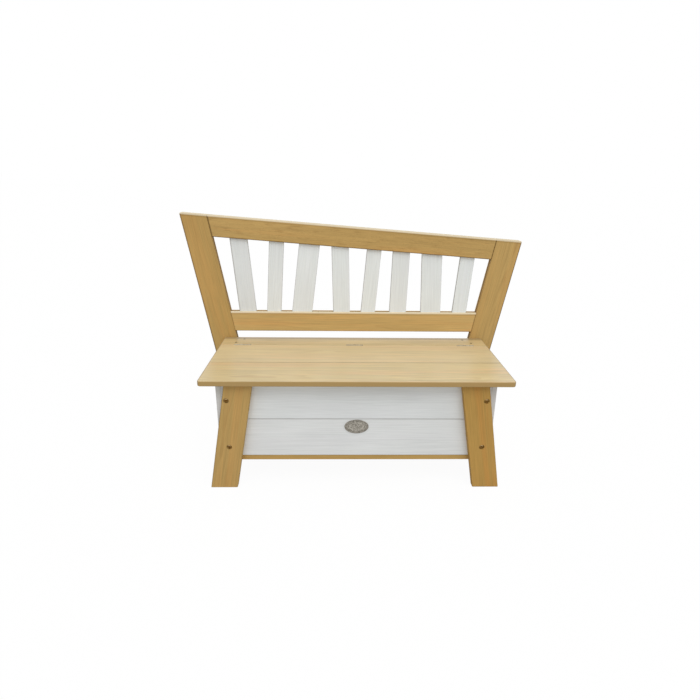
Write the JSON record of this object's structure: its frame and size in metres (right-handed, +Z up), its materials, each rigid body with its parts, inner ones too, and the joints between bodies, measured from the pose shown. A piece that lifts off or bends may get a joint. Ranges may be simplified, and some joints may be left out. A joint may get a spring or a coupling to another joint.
{
  "type": "toy storage bench",
  "caption": "Child's wooden bench with a lidded toy box under the seat, splayed legs and a raking back of whitewashed slats under a sloping top rail.",
  "frame": {"origin": "middle of the overall width and depth, on the floor", "axes": "+X to the right as seen from the front, +Y towards the back rest, +Z up"},
  "size_m": [1.1262, 0.423, 0.7789],
  "materials": {
    "honey_pine": "honey stain, satin",
    "seat_pine": "pale stain, satin",
    "white_wash": "thin white wash with the grain showing",
    "raw_pine": "planed, unfinished",
    "bolt_steel": "bronzed zinc plate",
    "screw_steel": "yellow zinc plate",
    "hinge_steel": "dull zinc plate",
    "badge_pewter": "cast, dull"
  },
  "bodies": {
    "bench": {"rear_plank": "seat_pine", "plank_screws": "screw_steel", "front_board_lower": "white_wash", "front_board_upper": "white_wash", "back_board_lower": "white_wash", "back_board_upper": "white_wash", "side_board_lower_left": "white_wash", "side_board_upper_left": "white_wash", "side_board_lower_right": "white_wash", "side_board_upper_right": "white_wash", "floor_board_front": "honey_pine", "floor_board_middle": "honey_pine", "floor_board_rear": "honey_pine", "floor_screws": "screw_steel", "corner_batten_front_left": "raw_pine", "corner_batten_front_right": "raw_pine", "corner_batten_rear_left": "raw_pine", "corner_batten_rear_right": "raw_pine", "corner_batten_screws": "screw_steel", "front_leg_left": "honey_pine", "front_leg_right": "honey_pine", "leg_bolts": "bolt_steel", "leg_bolt_nuts": "bolt_steel", "back_post_left": "honey_pine", "back_post_right": "honey_pine", "post_bolts": "bolt_steel", "post_bolt_nuts": "bolt_steel", "top_rail": "honey_pine", "lower_rail": "honey_pine", "rail_dowels": "raw_pine", "slat_1": "white_wash", "slat_2": "white_wash", "slat_3": "white_wash", "slat_4": "white_wash", "slat_5": "white_wash", "slat_6": "white_wash", "slat_7": "white_wash", "slat_8": "white_wash", "hinge_plank_leaf_left": "hinge_steel", "hinge_plank_leaf_middle": "hinge_steel", "hinge_plank_leaf_right": "hinge_steel", "hinge_pin_left": "hinge_steel", "hinge_pin_middle": "hinge_steel", "hinge_pin_right": "hinge_steel", "hinge_plank_screws": "hinge_steel", "badge": "badge_pewter"},
    "lid": {"lid_front_board": "seat_pine", "lid_rear_board": "seat_pine", "lid_batten_left": "raw_pine", "lid_batten_middle": "raw_pine", "lid_batten_right": "raw_pine", "lid_batten_screws": "screw_steel", "hinge_lid_leaf_left": "hinge_steel", "hinge_lid_leaf_middle": "hinge_steel", "hinge_lid_leaf_right": "hinge_steel", "hinge_lid_screws": "hinge_steel"}
  },
  "joints": [
    {"name": "lid_hinge", "type": "hinge", "parent": "bench", "child": "lid", "pos_m": [0.00712, 0.10075, 0.358], "axis": [-1, 0, 0], "range_deg": [0, 105]}
  ]
}
